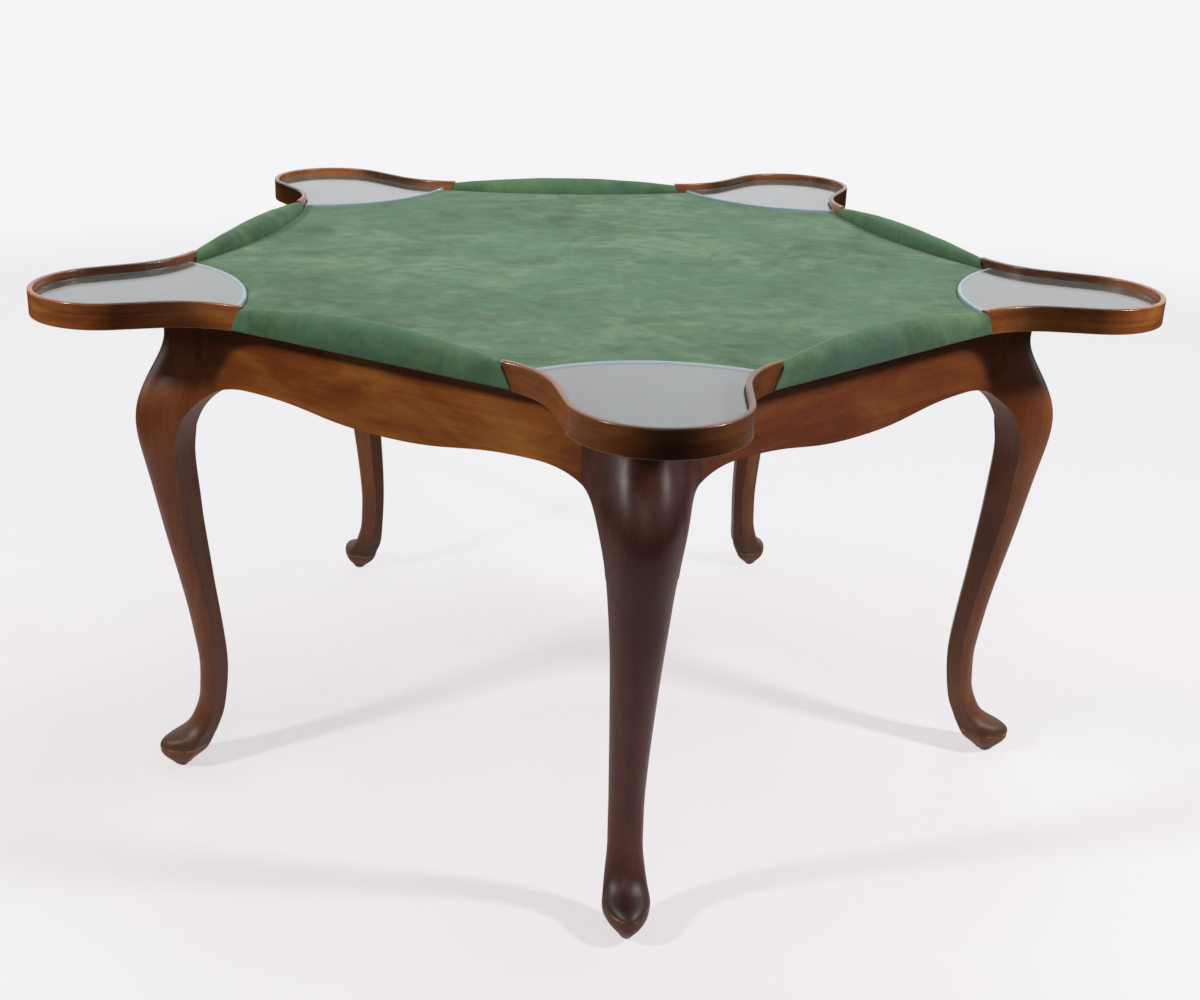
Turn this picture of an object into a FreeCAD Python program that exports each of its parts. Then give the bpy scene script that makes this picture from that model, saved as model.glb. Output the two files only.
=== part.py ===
# Five-sided games table, modelled in millimetres with +Z up.
#
# The origin is on the floor, under the middle of the table's footprint, with one leg
# towards -Y. The table has five equal sectors about one upright axis. Two frames serve
# every sector, both with their origin on that axis at the floor:
#   corner frame  x runs outward through the middle of one counter tray, y to its left
#   side frame    x is the outward normal of one side, y runs along the side to its left
# A place on a side is given as "out", its distance from the table's axis along that
# normal, and "along", its distance from mid-side towards the corner.
# Left and right in a name are as seen by someone who stands outside and faces that leg.

import FreeCAD, Part
import math
import os

from FreeCAD import Placement, Rotation, Vector

# Driving dimensions.
SIZES = {
    # outline of the top
    "top_height": 740.0,            # floor to the upper edge of the galleries
    "side_apothem": 554.7,          # axis to the outer face of the straight sides
    "lobe_centre": 703.0,           # axis to the centre of a lobe's round end
    "lobe_radius": 105.0,           # outer radius of that round end
    "hollow_radius": 136.0,         # outer radius of the hollow between side and lobe
    "flank_taper": 7.0,             # degrees by which a lobe's flank runs in
    # bent gallery round each lobe
    "gallery_height": 35.0,
    "gallery_thick": 7.5,
    "gallery_round": 2.4,           # rounding of the upper edges
    "gallery_ease": 1.2,            # rounding of the lower edges
    "gallery_slant": 17.0,          # run of the slanted end cut along the side
    "pin_radius": 1.1,
    "pin_length": 16.0,
    "pin_setback": 23.0,            # gallery end to the pair of pins
    "pin_height": 7.0,              # board underside to the lower pin
    "pin_spacing": 5.0,
    # boards and playing field
    "board_thick": 14.0,
    "panel_thick": 2.0,             # painted panel under each glass
    "field_thick": 6.0,             # padded hide of the playing field
    "field_round": 2.6,
    "field_gap": 1.2,               # field to glass
    "soft_gap": 0.3,                # clearance round soft pieces
    # loose glass plates
    "glass_thick": 8.0,
    "glass_gap": 1.0,               # glass to gallery
    "glass_seat_gap": 0.2,
    "glass_bevel": 1.2,
    "glass_edge_radius": 256.0,     # the convex edge that faces the field
    "glass_edge_place": 527.0,      # axis to the middle of that edge
    # padded arm rests
    "pad_seam_place": 521.0,        # axis to the seam, at mid-side
    "pad_seam_run": 22.5,           # how far the seam nears the edge at the galleries
    "pad_shoulder": 6.3,            # shoulder beyond the straight sides, at mid-side
    "pad_shoulder_fall": 2.0,       # how far the shoulder draws in at the galleries
    "pad_lip": 3.8,                 # straight lower edge beyond the straight sides
    "pad_rise": 10.0,               # crest above the galleries, at mid-side
    "pad_crest_fall": 13.0,         # how far the crest drops at the galleries
    "pad_seam_tuck": 1.0,           # seam below the playing field
    "pad_end_gap": 1.2,             # pad to gallery end
    # aprons
    "apron_face": 520.0,            # axis to the outer face
    "apron_thick": 22.0,
    "apron_mid_depth": 109.0,       # deepest place of the serpentine edge, at mid-side
    "apron_peak_depth": 91.5,       # shallowest place
    "apron_peak_place": 225.0,      # mid-side to the shallowest place
    # legs and knee blocks
    "leg_flank": 340.5,             # mid-side to the flat flank of a leg, at the knee's arris
    "flank_splay": 7.0,             # degrees by which the flank runs off behind the knee's arris
    "knee_drop": 225.0,             # apron top to the end of the arch on the leg
    "knee_swell": 39.2,             # knee beyond the meeting line of the apron faces
    "knee_flare": 29.0,             # arris beyond the apron face, at the knee
    "leg_depth": 69.0,              # front to back just under the knee
    "leg_width": 84.0,              # arris to arris just under the knee
    "foot_edge": 28.0,              # floor to the crisp edge round the foot
    "glide_radius": 6.0,
    "glide_thick": 2.5,
    # corner blocks and cleats
    "block_height": 46.0,
    "block_depth": 52.0,            # along the corner's axis
    "cleat_length": 150.0,
    "cleat_section": 24.0,
    # fasteners
    "hole_fit": 0.05,               # clearance all round in every hole
    "dowel_radius": 5.0,
    "dowel_apron_depth": 24.0,
    "dowel_leg_depth": 13.0,
    "dowel_drop": 20.0,             # apron top to the upper dowel
    "dowel_spacing": 44.0,
    "screw_radius": 2.2,
    "screw_head_radius": 4.4,
    "screw_head_height": 2.6,
    "screw_length": 35.0,
    "screw_bite": 10.0,             # into board or apron
    "cleat_screw_length": 30.0,
    "cleat_screw_bite": 8.0,
    "bolt_radius": 4.0,
    "bolt_bite": 20.0,              # into the leg
    "bolt_tail": 12.0,              # beyond the corner block
    "nut_radius": 7.5,              # across corners, halved
    "nut_thick": 6.5,
    "overrun": 3.0,                 # how far a cutting shape passes the face it opens
}

SIDES = 5
SECTOR = 360.0 / SIDES
CORNERS = {name: SECTOR * index - 90.0 for index, name in enumerate(
    ("front", "right", "rear_right", "rear_left", "left"))}
SIDE_FRAMES = {name: SECTOR * (index + 0.5) - 90.0 for index, name in enumerate(
    ("front_right", "side_right", "rear", "side_left", "front_left"))}
HANDS = {"right": 1, "left": -1}
NUT_FACES = 6

# Leg stations beside the knee blocks, from the top down. Each row holds the drop (share of
# knee_drop), reach beyond the meeting line of the apron faces (share of knee_swell), back
# face behind that line (share of leg_depth), flare of the arris (share of knee_flare) and
# turn of the front curve at the arris (share of its turn at the top).
KNEE_SHARES = (
    (0.00, -0.071, 0.620, 0.000, 1.00),
    (0.09, -0.118, 0.620, 0.000, 1.00),
    (0.18, -0.173, 0.620, 0.040, 0.97),
    (0.29, 0.005, 0.620, 0.290, 0.85),
    (0.40, 0.362, 0.620, 0.620, 0.74),
    (0.51, 0.707, 0.620, 0.880, 0.65),
    (0.62, 0.936, 0.620, 1.000, 0.58),
    (0.73, 1.000, 0.612, 0.985, 0.50),
    (0.87, 0.911, 0.545, 0.860, 0.41),
    (1.00, 0.758, 0.541, 0.690, 0.33),
)
# Stations below the arch. Each row holds the height above the foot's edge (share of the leg
# between that edge and the arch), reach and back face as above, half width (share of half
# leg_width) and the arris's place between back and front (share of the depth there).
SHAFT_SHARES = (
    (0.912, 0.554, 0.577, 0.888, 0.525),
    (0.823, 0.362, 0.620, 0.810, 0.545),
    (0.712, 0.107, 0.693, 0.738, 0.515),
    (0.602, -0.161, 0.765, 0.679, 0.490),
    (0.491, -0.403, 0.852, 0.624, 0.484),
    (0.381, -0.589, 0.930, 0.579, 0.484),
    (0.292, -0.689, 0.961, 0.552, 0.515),
    (0.226, -0.658, 0.932, 0.550, 0.525),
    (0.159, -0.556, 0.867, 0.557, 0.520),
    (0.115, -0.352, 0.794, 0.607, 0.500),
    (0.080, -0.080, 0.693, 0.655, 0.470),
    (0.060, 0.300, 0.642, 0.690, 0.440),
    (0.044, 0.760, 0.600, 0.725, 0.415),
    (0.029, 0.955, 0.548, 0.743, 0.405),
    (0.015, 0.985, 0.500, 0.735, 0.405),
    (0.000, 0.974, 0.446, 0.690, 0.410),
)
# The undercut sole, in the same columns, with heights as shares from the glide to the edge.
SOLE_SHARES = (
    (1.00, 0.974, 0.446, 0.690, 0.410),
    (0.55, 0.796, 0.300, 0.500, 0.430),
    (0.20, 0.566, 0.140, 0.300, 0.470),
    (0.00, 0.440, 0.062, 0.214, 0.500),
)
FOOT_TURN_SHARE = 0.15               # turn of the front curve at the arris, at the foot
ARRIS_HANDLE_SHARE = 0.44            # front curve: handle at the arris
MIDDLE_HANDLE_SHARES = (0.34, 0.47)  # front curve: handle at its middle, at foot and knee
BLOCK_HANDLE_SHARES = (0.22, 0.34)   # knee block: handles at the apron and at the arris
SERPENTINE_SHARE = 0.50              # handles of the apron's S-shaped edge
ARCH_SHARES = (0.64, 0.66)           # handles of the arch, along the apron and up the leg
JOINT_SHARE = 0.345                  # the apron's end, on the arch's curve
BLOCK_TIP_SHARE = 0.94               # the knee block's lower end, on the arch's curve
ARCH_SPREAD_SHARE = 2.0              # how much more the arch's handle up the leg runs off
PAD_STATION_SHARES = (-1.16, -0.95, -0.72, -0.4, 0.0, 0.4, 0.72, 0.95, 1.16)
CLEAT_UP_SHARE = 0.35                # upright cleat screws, from the middle of the cleat
CLEAT_OUT_SHARE = 0.17               # level cleat screws, from the middle of the cleat
BLOCK_INNER_SHARE = 0.33             # upright block screws, from its back to its front
BLOCK_UP_SHARE = 0.48                # the same screws, from its middle to its side
BLOCK_OUT_SHARE = 0.30               # level block screws, from its front to its back

doc = FreeCAD.newDocument("games_table")
sheet = doc.addObject("Spreadsheet::Sheet", "sizes")
for row, (name, value) in enumerate(SIZES.items(), start=1):
    sheet.set(f"A{row}", name)
    sheet.set(f"B{row}", str(value))
    sheet.setAlias(f"B{row}", name)
doc.recompute()


def size(name):
    return float(sheet.get(name))


HALF = math.radians(SECTOR / 2)      # from a corner's axis to the normals of its sides
TAPER = math.radians(size("flank_taper"))
SPLAY = math.radians(size("flank_splay"))
UP = Vector(0, 0, 1)
OUTWARD = Vector(1, 0, 0)

# Heights above the floor.
TOP = size("top_height")
BOARD_BOTTOM = TOP - size("gallery_height")
BOARD_TOP = BOARD_BOTTOM + size("board_thick")
FIELD_TOP = BOARD_TOP + size("field_thick")
ARCH_END = BOARD_BOTTOM - size("knee_drop")

# Distances from the table's axis.
APRON_BACK = size("apron_face") - size("apron_thick")
CORNER_LINE = size("apron_face") / math.cos(HALF)
LEG_BACK = CORNER_LINE - KNEE_SHARES[0][2] * size("leg_depth")
BLOCK_BACK = LEG_BACK - size("block_depth")

# The table's axis stands behind the origin, which is the middle of the footprint.
AXIS_PLACE = Vector(0, size("lobe_centre") * (1 - math.cos(HALF)) / 2, 0)


def frame_at(angle):
    return Placement(AXIS_PLACE, Rotation(UP, angle))


# Points. Those of a side are given in the corner frame, with hand 1 for the side on the
# left of the corner's axis (seen from the table) and -1 for the other.
def polar(centre, radius, angle):
    return centre + Vector(radius * math.cos(angle), radius * math.sin(angle), 0)


def at_height(point, height):
    return Vector(point.x, point.y, height)


def side_normal(hand=1):
    return Vector(math.cos(HALF), hand * math.sin(HALF), 0)


def side_run(hand=1):
    return Vector(math.sin(HALF), -hand * math.cos(HALF), 0)


def on_side(out, along, hand=1):
    return side_normal(hand) * out + side_run(hand) * along


def flipped(point):
    return Vector(point.x, -point.y, point.z)


# Edges are tuples of points: two for a line, three for an arc through them, four for a
# cubic curve with its two handles.
def arc(centre, radius, start, end):
    return tuple(polar(centre, radius, angle) for angle in (start, (start + end) / 2, end))


def mirrored(edges):
    """The same edges across the corner's axis, running on from the first ones."""
    return [tuple(flipped(point) for point in reversed(edge)) for edge in reversed(edges)]


def turned(edges, angle):
    rotation = Rotation(UP, angle)
    return [tuple(rotation.multVec(point) for point in edge) for edge in edges]


def closed(edges):
    """Join the edges' ends with straight runs into one outline."""
    result = []
    for edge, following in zip(edges, edges[1:] + edges[:1]):
        result.append(edge)
        if edge[-1].distanceToPoint(following[0]) > Part.Precision.confusion():
            result.append((edge[-1], following[0]))
    return result


def polygon(*points):
    return closed(list(zip(points, points[1:])))


def curve(points):
    if len(points) == 2:
        return Part.LineSegment(*points)
    if len(points) == 3:
        return Part.Arc(*points)
    bezier = Part.BezierCurve()
    bezier.setPoles(list(points))
    return bezier.toBSpline()


def wire(edges):
    return Part.Wire([curve(edge).toShape() for edge in edges])


def prism(edges, run):
    return Part.Face(wire(edges)).extrude(run)


def parted(handles, share):
    """Both parts of a cubic curve cut at a share of its run."""
    rows = [list(handles)]
    while len(rows[-1]) > 1:
        rows.append([a + (b - a) * share for a, b in zip(rows[-1], rows[-1][1:])])
    return tuple(row[0] for row in rows), tuple(row[-1] for row in reversed(rows))


# Outline of a lobe, worked out from the circles and lines that touch.
def flank_crossing():
    """Where the flank's line would meet the straight side."""
    radius = size("lobe_radius")
    run = (size("lobe_centre") * math.cos(HALF) + radius * math.sin(HALF + TAPER)
           - size("side_apothem")) / math.cos(HALF + TAPER)
    return Vector(size("lobe_centre") + radius * math.sin(TAPER) - run * math.cos(TAPER),
                  radius * math.cos(TAPER) + run * math.sin(TAPER), 0)


HOLLOW_TURN = math.pi / 2 - HALF - TAPER
HOLLOW_START = HALF - math.pi
HOLLOW_END = HOLLOW_START + HOLLOW_TURN
GALLERY_END = flank_crossing() - side_run() * size("hollow_radius") * math.tan(HOLLOW_TURN / 2)
END_ALONG = GALLERY_END.dot(side_run())
HOLLOW_CENTRE = GALLERY_END + side_normal() * size("hollow_radius")
LOBE_CENTRE = Vector(size("lobe_centre"), 0, 0)
GLASS_CENTRE = Vector(size("glass_edge_place") + size("glass_edge_radius"), 0, 0)


def lobe_half(inset, start=HOLLOW_START):
    """Hollow, flank and half the round end, set in from the gallery's outer face."""
    hollow = size("hollow_radius") + inset
    radius = size("lobe_radius") - inset
    round_start = math.pi / 2 - TAPER
    return [
        arc(HOLLOW_CENTRE, hollow, start, HOLLOW_END),
        (polar(HOLLOW_CENTRE, hollow, HOLLOW_END), polar(LOBE_CENTRE, radius, round_start)),
        arc(LOBE_CENTRE, radius, round_start, 0),
    ]


def hollow_crossing(inset, radius):
    """Angle on the hollow where it meets a circle about the glass edge's centre."""
    hollow = size("hollow_radius") + inset
    gap = GLASS_CENTRE - HOLLOW_CENTRE
    cosine = (hollow ** 2 + gap.Length ** 2 - radius ** 2) / (2 * hollow * gap.Length)
    return math.atan2(gap.y, gap.x) - math.acos(cosine)


def tray_edge(inset, radius):
    """The convex edge across a tray's mouth, from its right end to its left."""
    end = polar(HOLLOW_CENTRE, size("hollow_radius") + inset, hollow_crossing(inset, radius))
    return (flipped(end), GLASS_CENTRE - OUTWARD * radius, end)


def tray_outline(inset):
    """Outline of the glass and of the panel under it."""
    radius = size("glass_edge_radius")
    half = lobe_half(inset, hollow_crossing(inset, radius))
    return half + mirrored(half) + [tray_edge(inset, radius)]


def slant_along(height):
    """How far along the side a gallery's slanted end lies at a height."""
    return END_ALONG + size("gallery_slant") * (TOP - height) / size("gallery_height")


# Seam of the arm rests: one arc that nears the table's edge towards the galleries.
SEAM_RADIUS = (END_ALONG ** 2 + size("pad_seam_run") ** 2) / (2 * size("pad_seam_run"))
SEAM_CENTRE = size("pad_seam_place") + SEAM_RADIUS


def seam_out(along, gap=0):
    return SEAM_CENTRE - math.sqrt((SEAM_RADIUS + gap) ** 2 - along ** 2)


def flank_along(out):
    """Mid-side to the flat flank of a leg beside its knee blocks."""
    behind = size("apron_face") + size("knee_flare") - out
    return size("leg_flank") + behind * math.tan(SPLAY)


# The apron's lower edge and the arch that carries it down the leg, as points of the side
# frame's upright plane.
def serpentine():
    deep = BOARD_BOTTOM - size("apron_mid_depth")
    peak = BOARD_BOTTOM - size("apron_peak_depth")
    along = size("apron_peak_place")
    handle = along * SERPENTINE_SHARE
    return (Vector(0, deep), Vector(handle, deep), Vector(along - handle, peak), Vector(along, peak))


def arch():
    start = serpentine()[-1]
    end = Vector(size("leg_flank"), ARCH_END)
    return (start, start + Vector((end.x - start.x) * ARCH_SHARES[0], 0),
            end + Vector(0, (start.y - end.y) * ARCH_SHARES[1]), end)


APRON_ARCH, LEG_ARCH = parted(arch(), JOINT_SHARE)
APRON_END = APRON_ARCH[-1].x
BLOCK_ARCH = parted(LEG_ARCH, (BLOCK_TIP_SHARE - JOINT_SHARE) / (1 - JOINT_SHARE))[0]


# Document objects.
def new_body(label):
    body = doc.addObject("PartDesign::Body", label)
    body.Label = label
    return body


def plane_of(body, role):
    return next(feature for feature in body.Origin.OriginFeatures if feature.Role == role)


def sketch_in(body, name, role, edges, offset=None):
    sketch = body.newObject("Sketcher::SketchObject", name)
    sketch.AttachmentSupport = (plane_of(body, role), "")
    sketch.MapMode = "FlatFace"
    if offset:
        sketch.setExpression("AttachmentOffset.Base.z", offset)
    for edge in edges:
        sketch.addGeometry(curve(edge))
    return sketch


def padded(body, sketch, length):
    feature = body.newObject("PartDesign::Pad", sketch.Name + "_pad")
    feature.Profile = sketch
    feature.setExpression("Length", length)
    doc.recompute()
    return feature


def padded_body(label, edges, offset, length, role="XY_Plane"):
    body = new_body(label)
    padded(body, sketch_in(body, label + "_outline", role, edges, offset), length)
    return body


def dressed(body, kind, size_property, names, value):
    """Round or bevel the named edges of the body's last feature."""
    base = body.Tip
    feature = body.newObject(kind, body.Name + "_edge")
    feature.Base = (base, names)
    feature.setExpression(size_property, value)
    doc.recompute()


def level_edges(body, heights):
    """Names of the tip's edges that lie level at one of the heights."""
    tolerance = size("hole_fit")
    names = []
    for number, edge in enumerate(body.Tip.Shape.Edges, start=1):
        box = edge.BoundBox
        if any(max(abs(box.ZMin - height), abs(box.ZMax - height)) < tolerance
               for height in heights):
            names.append(f"Edge{number}")
    return names


def solid_object(label, shape):
    piece = doc.addObject("Part::Feature", label)
    piece.Label = label
    piece.Shape = shape
    return piece


pieces = []


def keep(piece, angle=None):
    if angle is not None:
        piece.Placement = frame_at(angle)
    pieces.append(piece)


# Fasteners, by name, and their holes. All are in the table's own frame.
fasteners = {}
holes = []


def add_fastener(group, angle, solid, hole):
    matrix = frame_at(angle).toMatrix()
    fasteners.setdefault(group, []).append(solid.transformed(matrix))
    holes.append(hole.transformed(matrix))


def add_peg(group, angle, start, direction, radius, length):
    """A plain round peg in a hole of its own length."""
    fit = size("hole_fit")
    solid = Part.makeCylinder(radius, length, start, direction)
    hole = Part.makeCylinder(radius + fit, length + fit, start, direction)
    add_fastener(group, angle, solid, hole)


def countersunk(head, direction, length, fit):
    radius = size("screw_radius") + fit
    cone = Part.makeCone(size("screw_head_radius") + fit, radius, size("screw_head_height"),
                         head, direction)
    shank = Part.makeCylinder(radius, length + fit, head, direction)
    return cone.fuse(shank).removeSplitter()


def add_screw(group, angle, tip, direction, length):
    """A countersunk screw that ends at its tip, with a bore behind its head."""
    head = tip - direction * length
    fit = size("hole_fit")
    radius = size("screw_head_radius") + fit
    bore = Part.makeCylinder(radius, length, head - direction * length, direction)
    hole = countersunk(head, direction, length, fit).fuse(bore).removeSplitter()
    add_fastener(group, angle, countersunk(head, direction, length, 0), hole)


def add_corner_fasteners(angle):
    bolt_place = Vector(BLOCK_BACK - size("bolt_tail"), 0, BOARD_BOTTOM - size("block_height") / 2)
    bolt_length = size("bolt_tail") + size("block_depth") + size("bolt_bite")
    add_peg("leg_bolts", angle, bolt_place, OUTWARD, size("bolt_radius"), bolt_length)
    for hand in HANDS.values():
        run = side_run(hand)
        out = size("apron_face") - size("apron_thick") / 2
        start = on_side(out, APRON_END - size("dowel_apron_depth"), hand)
        length = (size("dowel_apron_depth") + flank_along(out) - APRON_END
                  + size("dowel_leg_depth"))
        for level in (0, 1):
            height = BOARD_BOTTOM - size("dowel_drop") - level * size("dowel_spacing")
            add_peg("apron_dowels", angle, at_height(start, height), run,
                    size("dowel_radius"), length)
        turn = HOLLOW_START + size("pin_setback") / size("hollow_radius")
        start = polar(HOLLOW_CENTRE, size("hollow_radius"), turn)
        inward = polar(Vector(), 1, turn)
        if hand < 0:
            start, inward = flipped(start), flipped(inward)
        for level in (0, 1):
            height = BOARD_BOTTOM + size("pin_height") + level * size("pin_spacing")
            add_peg("gallery_pins", angle, at_height(start, height), inward,
                    size("pin_radius"), size("pin_length"))
        middle = BLOCK_BACK + size("block_depth") * BLOCK_INNER_SHARE
        half_width = (APRON_BACK - middle * math.cos(HALF)) / math.sin(HALF)
        tip = Vector(middle, hand * half_width * BLOCK_UP_SHARE, BOARD_BOTTOM + size("screw_bite"))
        add_screw("corner_block_screws", angle, tip, UP, size("screw_length"))
        front = LEG_BACK - BLOCK_OUT_SHARE * size("block_depth")
        along = (front - APRON_BACK * math.cos(HALF)) / math.sin(HALF)
        height = BOARD_BOTTOM - size("dowel_drop") - size("dowel_spacing") / 2
        tip = at_height(on_side(APRON_BACK + size("screw_bite"), along, hand), height)
        add_screw("corner_block_screws", angle, tip, side_normal(hand), size("screw_length"))


def add_cleat_fasteners(angle):
    middle = size("cleat_section") / 2
    for hand in HANDS.values():
        tip = Vector(APRON_BACK - middle, hand * size("cleat_length") * CLEAT_UP_SHARE,
                     BOARD_BOTTOM + size("cleat_screw_bite"))
        add_screw("cleat_screws", angle, tip, UP, size("cleat_screw_length"))
        tip = Vector(APRON_BACK + size("cleat_screw_bite"),
                     hand * size("cleat_length") * CLEAT_OUT_SHARE, BOARD_BOTTOM - middle)
        add_screw("cleat_screws", angle, tip, OUTWARD, size("cleat_screw_length"))


def drilled(label, blank, angle):
    """Place the blank in its sector, cut every hole that reaches it, and keep the result."""
    blank.Placement = frame_at(angle)
    doc.recompute()
    solid = blank.Shape
    near = [hole for hole in holes if hole.BoundBox.intersect(solid.BoundBox)]
    near = [hole for hole in near if hole.distToShape(solid)[0] < size("hole_fit")]
    tool = solid_object(label + "_holes", Part.makeCompound(near))
    cut = doc.addObject("Part::Cut", label)
    cut.Label = label
    cut.Base = blank
    cut.Tool = tool
    keep(cut)


# Boards.
def make_top_board():
    outline = []
    for angle in reversed(CORNERS.values()):
        half = lobe_half(size("gallery_thick"))
        outline += turned(half + mirrored(half), angle)
    label = "top_board"
    body = padded_body(label + "_blank", closed(outline),
                       "sizes.top_height - sizes.gallery_height", "sizes.board_thick")
    drilled(label, body, 0)


def make_field():
    """Padded hide between the five glass plates and the five seams."""
    label = "suede_field"
    inset = size("gallery_thick") + size("soft_gap")
    radius = size("glass_edge_radius") + size("field_gap")
    hollow = size("hollow_radius") + inset
    end_along = slant_along(BOARD_TOP) + size("soft_gap")
    start = HOLLOW_START + math.asin((end_along - END_ALONG) / hollow)
    hollow_edge = arc(HOLLOW_CENTRE, hollow, start, hollow_crossing(inset, radius))
    seam = [on_side(seam_out(along, size("soft_gap")), along)
            for along in (-end_along, 0, end_along)]
    outline = []
    for angle in reversed(CORNERS.values()):
        mouth = tuple(reversed(tray_edge(inset, radius)))
        edges = [tuple(seam), hollow_edge, mouth] + mirrored([hollow_edge])
        outline += turned(edges, angle)
    body = padded_body(label, closed(outline),
                       "sizes.top_height - sizes.gallery_height + sizes.board_thick",
                       "sizes.field_thick")
    rim = level_edges(body, [FIELD_TOP])
    dressed(body, "PartDesign::Fillet", "Radius", rim, "sizes.field_round")
    keep(body, 0)


# Trays, each with its painted panel, loose glass and bent gallery.
def make_tray_panel(label, angle):
    outline = tray_outline(size("gallery_thick") + size("soft_gap"))
    body = padded_body(label, outline,
                       "sizes.top_height - sizes.gallery_height + sizes.board_thick",
                       "sizes.panel_thick")
    keep(body, angle)


def make_glass(label, angle):
    body = padded_body(label, tray_outline(size("gallery_thick") + size("glass_gap")),
                       "sizes.top_height - sizes.gallery_height + sizes.board_thick"
                       " + sizes.panel_thick + sizes.glass_seat_gap", "sizes.glass_thick")
    bottom = BOARD_TOP + size("panel_thick") + size("glass_seat_gap")
    names = level_edges(body, [bottom, bottom + size("glass_thick")])
    dressed(body, "PartDesign::Chamfer", "Size", names, "sizes.glass_bevel")
    keep(body, angle)


def gallery_profile():
    """Section of the gallery, with rounded edges, on the corner's upright plane."""
    outer = size("lobe_centre") + size("lobe_radius")
    inner = outer - size("gallery_thick")
    turn = math.pi / 2
    large, small = size("gallery_round"), size("gallery_ease")
    corners = (
        (Vector(outer - small, BOARD_BOTTOM + small), small, -turn),
        (Vector(outer - large, TOP - large), large, 0),
        (Vector(inner + large, TOP - large), large, turn),
        (Vector(inner + small, BOARD_BOTTOM + small), small, 2 * turn),
    )
    return closed([arc(centre, radius, start, start + turn) for centre, radius, start in corners])


def make_gallery(label, angle):
    body = new_body(label + "_blank")
    profile = sketch_in(body, label + "_profile", "XZ_Plane", gallery_profile())
    path = [tuple(reversed(edge)) for edge in reversed(lobe_half(0))]
    spine = sketch_in(body, label + "_path", "XY_Plane", path)
    pipe = body.newObject("PartDesign::AdditivePipe", label + "_pipe")
    pipe.Profile = profile
    pipe.Spine = spine
    doc.recompute()
    past = size("overrun")
    slope = size("gallery_slant") / size("gallery_height")
    cut = sketch_in(body, label + "_slant", "XZ_Plane", polygon(
        Vector(END_ALONG, TOP), Vector(END_ALONG - past, TOP),
        Vector(END_ALONG - past, BOARD_BOTTOM - past),
        Vector(slant_along(BOARD_BOTTOM) + past * slope, BOARD_BOTTOM - past)))
    cut.AttachmentOffset = Placement(Vector(), Rotation(Vector(0, 1, 0), SECTOR / 2 - 90))
    pocket = body.newObject("PartDesign::Pocket", label + "_slant_cut")
    pocket.Profile = cut
    pocket.Type = "ThroughAll"
    doc.recompute()
    half = body.newObject("PartDesign::Mirrored", label + "_half")
    half.Originals = [pipe, pocket]
    half.MirrorPlane = (plane_of(body, "XZ_Plane"), [""])
    body.Tip = half
    drilled(label, body, angle)


# Padded arm rests, lofted along the side in the side frame.
def rise_arc(centre, radius, start, end):
    """An arc in the upright plane across the pad."""
    return tuple(centre + Vector(radius * math.cos(turn), 0, radius * math.sin(turn))
                 for turn in (start, (start + end) / 2, end))


def pad_section(along):
    share = (along / END_ALONG) ** 2
    seam = Vector(seam_out(along), along, FIELD_TOP - size("pad_seam_tuck"))
    shoulder_out = size("side_apothem") + size("pad_shoulder") - size("pad_shoulder_fall") * share
    half_width = (shoulder_out - seam.x) / 2
    rise = TOP + size("pad_rise") - size("pad_crest_fall") * share - seam.z
    crest = seam + Vector(half_width, 0, rise)
    inner_radius = (half_width ** 2 + rise ** 2) / (2 * rise)
    inner_centre = crest - UP * inner_radius
    seam_turn = math.atan2(inner_radius - rise, -half_width) % (2 * math.pi)
    inner = rise_arc(inner_centre, inner_radius, seam_turn, math.pi / 2)
    outer = rise_arc(crest - UP * half_width, half_width, math.pi / 2, 0)
    lip = Vector(size("side_apothem") + size("pad_lip"), along, BOARD_BOTTOM)
    floor = (lip, at_height(seam, BOARD_BOTTOM))
    return wire(closed([inner, outer, (outer[-1], lip), floor]))


def pad_room():
    """The room between the slanted ends of two galleries, less the gaps."""
    low = BOARD_BOTTOM - size("overrun")
    high = TOP + size("pad_rise") + size("overrun")
    inner = size("pad_seam_place") - size("pad_seam_run")
    corners = []
    for height, hand in ((low, -1), (low, 1), (high, 1), (high, -1)):
        along = hand * (slant_along(height) - size("pad_end_gap"))
        corners.append(Vector(inner, along, height))
    return prism(polygon(*corners), OUTWARD * (size("lobe_centre") - inner))


def board_room():
    """The board between two lobes, with a gap over it and past its edge."""
    low = BOARD_BOTTOM - size("overrun")
    edge = turned(lobe_half(size("gallery_thick") - size("soft_gap"))[:1], -SECTOR / 2)
    outline = closed(mirrored(edge) + edge + [(edge[-1][-1], Vector())])
    floor = [tuple(at_height(point, low) for point in part) for part in outline]
    return prism(floor, UP * (BOARD_TOP + size("soft_gap") - low))


def make_arm_pad():
    sections = [pad_section(END_ALONG * share) for share in PAD_STATION_SHARES]
    return Part.makeLoft(sections, True).common(pad_room()).cut(board_room()).Solids[0]


# Legs.
def leg_section(height, front, arris, back, lean, turn, breadth):
    """Plan of the leg: two front curves, two flat flanks and the back."""
    back_half = arris.y - (arris.x - back) * math.tan(lean)
    angle = -turn * (math.pi / 2 - HALF)
    middle = Vector(front, 0, height)
    arris = at_height(arris, height)
    reach = arris.distanceToPoint(middle) * ARRIS_HANDLE_SHARE
    flat = Vector(front, arris.y * breadth, height)
    corner = Vector(back, back_half, height)
    half = [(corner, arris), (arris, polar(arris, reach, angle), flat, middle)]
    return wire(closed(half + mirrored(half)))


def knee_stations():
    """Height, front, arris, back, lean of the flank, turn and breadth of the front curve, for
    each station beside the knee block."""
    for drop, reach, depth, flare, turn in KNEE_SHARES:
        out = size("apron_face") + flare * size("knee_flare")
        yield (BOARD_BOTTOM - drop * size("knee_drop"),
               CORNER_LINE + reach * size("knee_swell"),
               on_side(out, flank_along(out)),
               CORNER_LINE - depth * size("leg_depth"),
               HALF + SPLAY, turn, MIDDLE_HANDLE_SHARES[1])


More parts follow.
